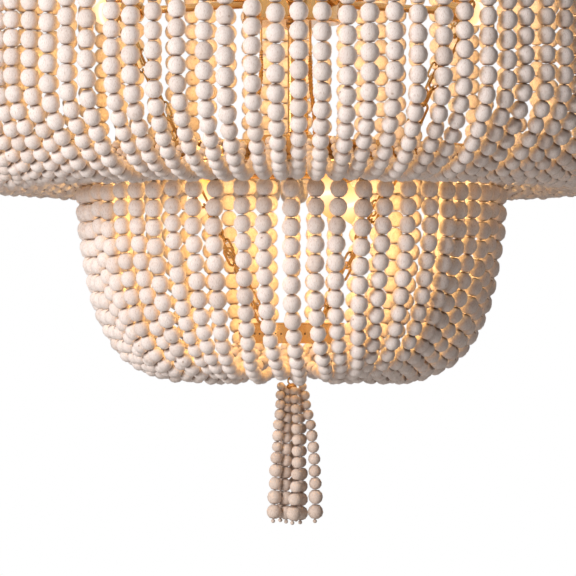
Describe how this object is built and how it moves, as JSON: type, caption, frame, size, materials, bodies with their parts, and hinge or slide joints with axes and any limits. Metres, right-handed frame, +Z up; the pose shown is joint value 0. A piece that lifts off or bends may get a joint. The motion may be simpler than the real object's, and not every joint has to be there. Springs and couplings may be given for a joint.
{
  "type": "beaded chandelier",
  "caption": "Two-tier chandelier of whitewashed wooden bead strands on a polished gold frame, with candle lamps inside and a bead tassel below.",
  "frame": {"origin": "on the ceiling, at the centre of the crossbar's upper face, on the fixture's axis", "axes": "+Z up out of the crossbar into the ceiling, -Y towards the pictured front, +X to the picture's right"},
  "size_m": [0.82, 0.82, 1.1269],
  "materials": {
    "bead_wood": "whitewashed, matt",
    "polished_gold": "polished",
    "chain_gold": "bright",
    "zinc_steel": "zinc plated",
    "lamp_glass": "clear, lit warm from inside",
    "twisted_lead": "twisted gold sleeve"
  },
  "bodies": {
    "ceiling_mount": {"ceiling_crossbar": "zinc_steel", "crossbar_stirrup": "zinc_steel", "nipple_locknut": "zinc_steel", "threaded_nipple": "zinc_steel", "canopy": "polished_gold", "canopy_loop": "polished_gold"},
    "collar": {"collar_ring": "polished_gold"},
    "link_1": {"chain_link_1": "polished_gold"},
    "link_2": {"chain_link_2": "polished_gold"},
    "link_3": {"chain_link_3": "polished_gold"},
    "link_4": {"chain_link_4": "polished_gold"},
    "link_5": {"chain_link_5": "polished_gold"},
    "fixture": {"top_loop": "polished_gold", "stem": "polished_gold", "crown_ring": "polished_gold", "crown_spider": "polished_gold", "main_ring": "polished_gold", "main_spokes": "polished_gold", "hub_drum": "polished_gold", "lower_stem": "polished_gold", "lower_hub": "polished_gold", "mid_ring": "polished_gold", "bottom_band": "polished_gold", "bottom_cross_plate": "polished_gold", "tassel_eye": "polished_gold", "dropper_lead_1": "twisted_lead", "dropper_lead_2": "twisted_lead", "dropper_lead_3": "twisted_lead", "upper_chain_1": "chain_gold", "upper_chain_2": "chain_gold", "upper_chain_3": "chain_gold", "upper_chain_4": "chain_gold", "lower_chain_1": "chain_gold", "lower_chain_2": "chain_gold", "lower_chain_3": "chain_gold", "lower_chain_4": "chain_gold", "crown_strands_right_back": "bead_wood", "crown_strands_left_back": "bead_wood", "crown_strands_left_front": "bead_wood", "crown_strands_right_front": "bead_wood", "upper_strands_right_back": "bead_wood", "upper_strands_left_back": "bead_wood", "upper_strands_left_front": "bead_wood", "upper_strands_right_front": "bead_wood", "lower_strands_right_back": "bead_wood", "lower_strands_left_back": "bead_wood", "lower_strands_left_front": "bead_wood", "lower_strands_right_front": "bead_wood"},
    "upper_lamp_1": {"upper_lamp_1": "lamp_glass"},
    "upper_lamp_2": {"upper_lamp_2": "lamp_glass"},
    "upper_lamp_3": {"upper_lamp_3": "lamp_glass"},
    "upper_lamp_4": {"upper_lamp_4": "lamp_glass"},
    "upper_lamp_5": {"upper_lamp_5": "lamp_glass"},
    "upper_lamp_6": {"upper_lamp_6": "lamp_glass"},
    "lower_lamp_1": {"lower_lamp_1": "lamp_glass"},
    "lower_lamp_2": {"lower_lamp_2": "lamp_glass"},
    "lower_lamp_3": {"lower_lamp_3": "lamp_glass"},
    "tassel_ring": {"tassel_ring": "polished_gold"},
    "tassel": {"tassel": "bead_wood"}
  },
  "joints": [
    {"name": "collar_turn", "type": "hinge", "parent": "ceiling_mount", "child": "collar", "pos_m": [0, 0, -0.0363], "axis": [0, 0, 1], "continuous": true},
    {"name": "link_1_swing", "type": "hinge", "parent": "ceiling_mount", "child": "link_1", "pos_m": [0, 0, -0.0706], "axis": [1, 0, 0], "range_deg": [-12, 12]},
    {"name": "link_2_swing", "type": "hinge", "parent": "link_1", "child": "link_2", "pos_m": [0, 0, -0.10035], "axis": [0, 1, 0], "range_deg": [-12, 12]},
    {"name": "link_3_swing", "type": "hinge", "parent": "link_2", "child": "link_3", "pos_m": [0, 0, -0.13085], "axis": [1, 0, 0], "range_deg": [-12, 12]},
    {"name": "link_4_swing", "type": "hinge", "parent": "link_3", "child": "link_4", "pos_m": [0, 0, -0.16135], "axis": [0, 1, 0], "range_deg": [-12, 12]},
    {"name": "link_5_swing", "type": "hinge", "parent": "link_4", "child": "link_5", "pos_m": [0, 0, -0.19185], "axis": [1, 0, 0], "range_deg": [-12, 12]},
    {"name": "fixture_swing", "type": "hinge", "parent": "link_5", "child": "fixture", "pos_m": [0, 0, -0.22235], "axis": [0, 1, 0], "range_deg": [-12, 12]},
    {"name": "upper_lamp_1_turn", "type": "hinge", "parent": "fixture", "child": "upper_lamp_1", "pos_m": [0, -0.2, -0.5829], "axis": [0, -1, 0], "continuous": true},
    {"name": "upper_lamp_2_turn", "type": "hinge", "parent": "fixture", "child": "upper_lamp_2", "pos_m": [0.1732, -0.1, -0.5829], "axis": [0.866, -0.5, 0], "continuous": true},
    {"name": "upper_lamp_3_turn", "type": "hinge", "parent": "fixture", "child": "upper_lamp_3", "pos_m": [0.1732, 0.1, -0.5829], "axis": [0.866, 0.5, 0], "continuous": true},
    {"name": "upper_lamp_4_turn", "type": "hinge", "parent": "fixture", "child": "upper_lamp_4", "pos_m": [0, 0.2, -0.5829], "axis": [0, 1, 0], "continuous": true},
    {"name": "upper_lamp_5_turn", "type": "hinge", "parent": "fixture", "child": "upper_lamp_5", "pos_m": [-0.1732, 0.1, -0.5829], "axis": [-0.866, 0.5, 0], "continuous": true},
    {"name": "upper_lamp_6_turn", "type": "hinge", "parent": "fixture", "child": "upper_lamp_6", "pos_m": [-0.1732, -0.1, -0.5829], "axis": [-0.866, -0.5, 0], "continuous": true},
    {"name": "lower_lamp_1_turn", "type": "hinge", "parent": "fixture", "child": "lower_lamp_1", "pos_m": [-0.08669, 0.01218, -0.7619], "axis": [-0.306, 0.043, -0.9511], "continuous": true},
    {"name": "lower_lamp_2_turn", "type": "hinge", "parent": "fixture", "child": "lower_lamp_2", "pos_m": [0.03279, -0.08117, -0.7619], "axis": [0.1158, -0.2865, -0.9511], "continuous": true},
    {"name": "lower_lamp_3_turn", "type": "hinge", "parent": "fixture", "child": "lower_lamp_3", "pos_m": [0.0539, 0.06898, -0.7619], "axis": [0.1902, 0.2435, -0.9511], "continuous": true},
    {"name": "tassel_ring_swing", "type": "hinge", "parent": "fixture", "child": "tassel_ring", "pos_m": [0, 0, -0.9694], "axis": [1, 0, 0], "range_deg": [-20, 20]},
    {"name": "tassel_swing", "type": "hinge", "parent": "tassel_ring", "child": "tassel", "pos_m": [0, 0, -0.97605], "axis": [0, 1, 0], "range_deg": [-20, 20]}
  ]
}
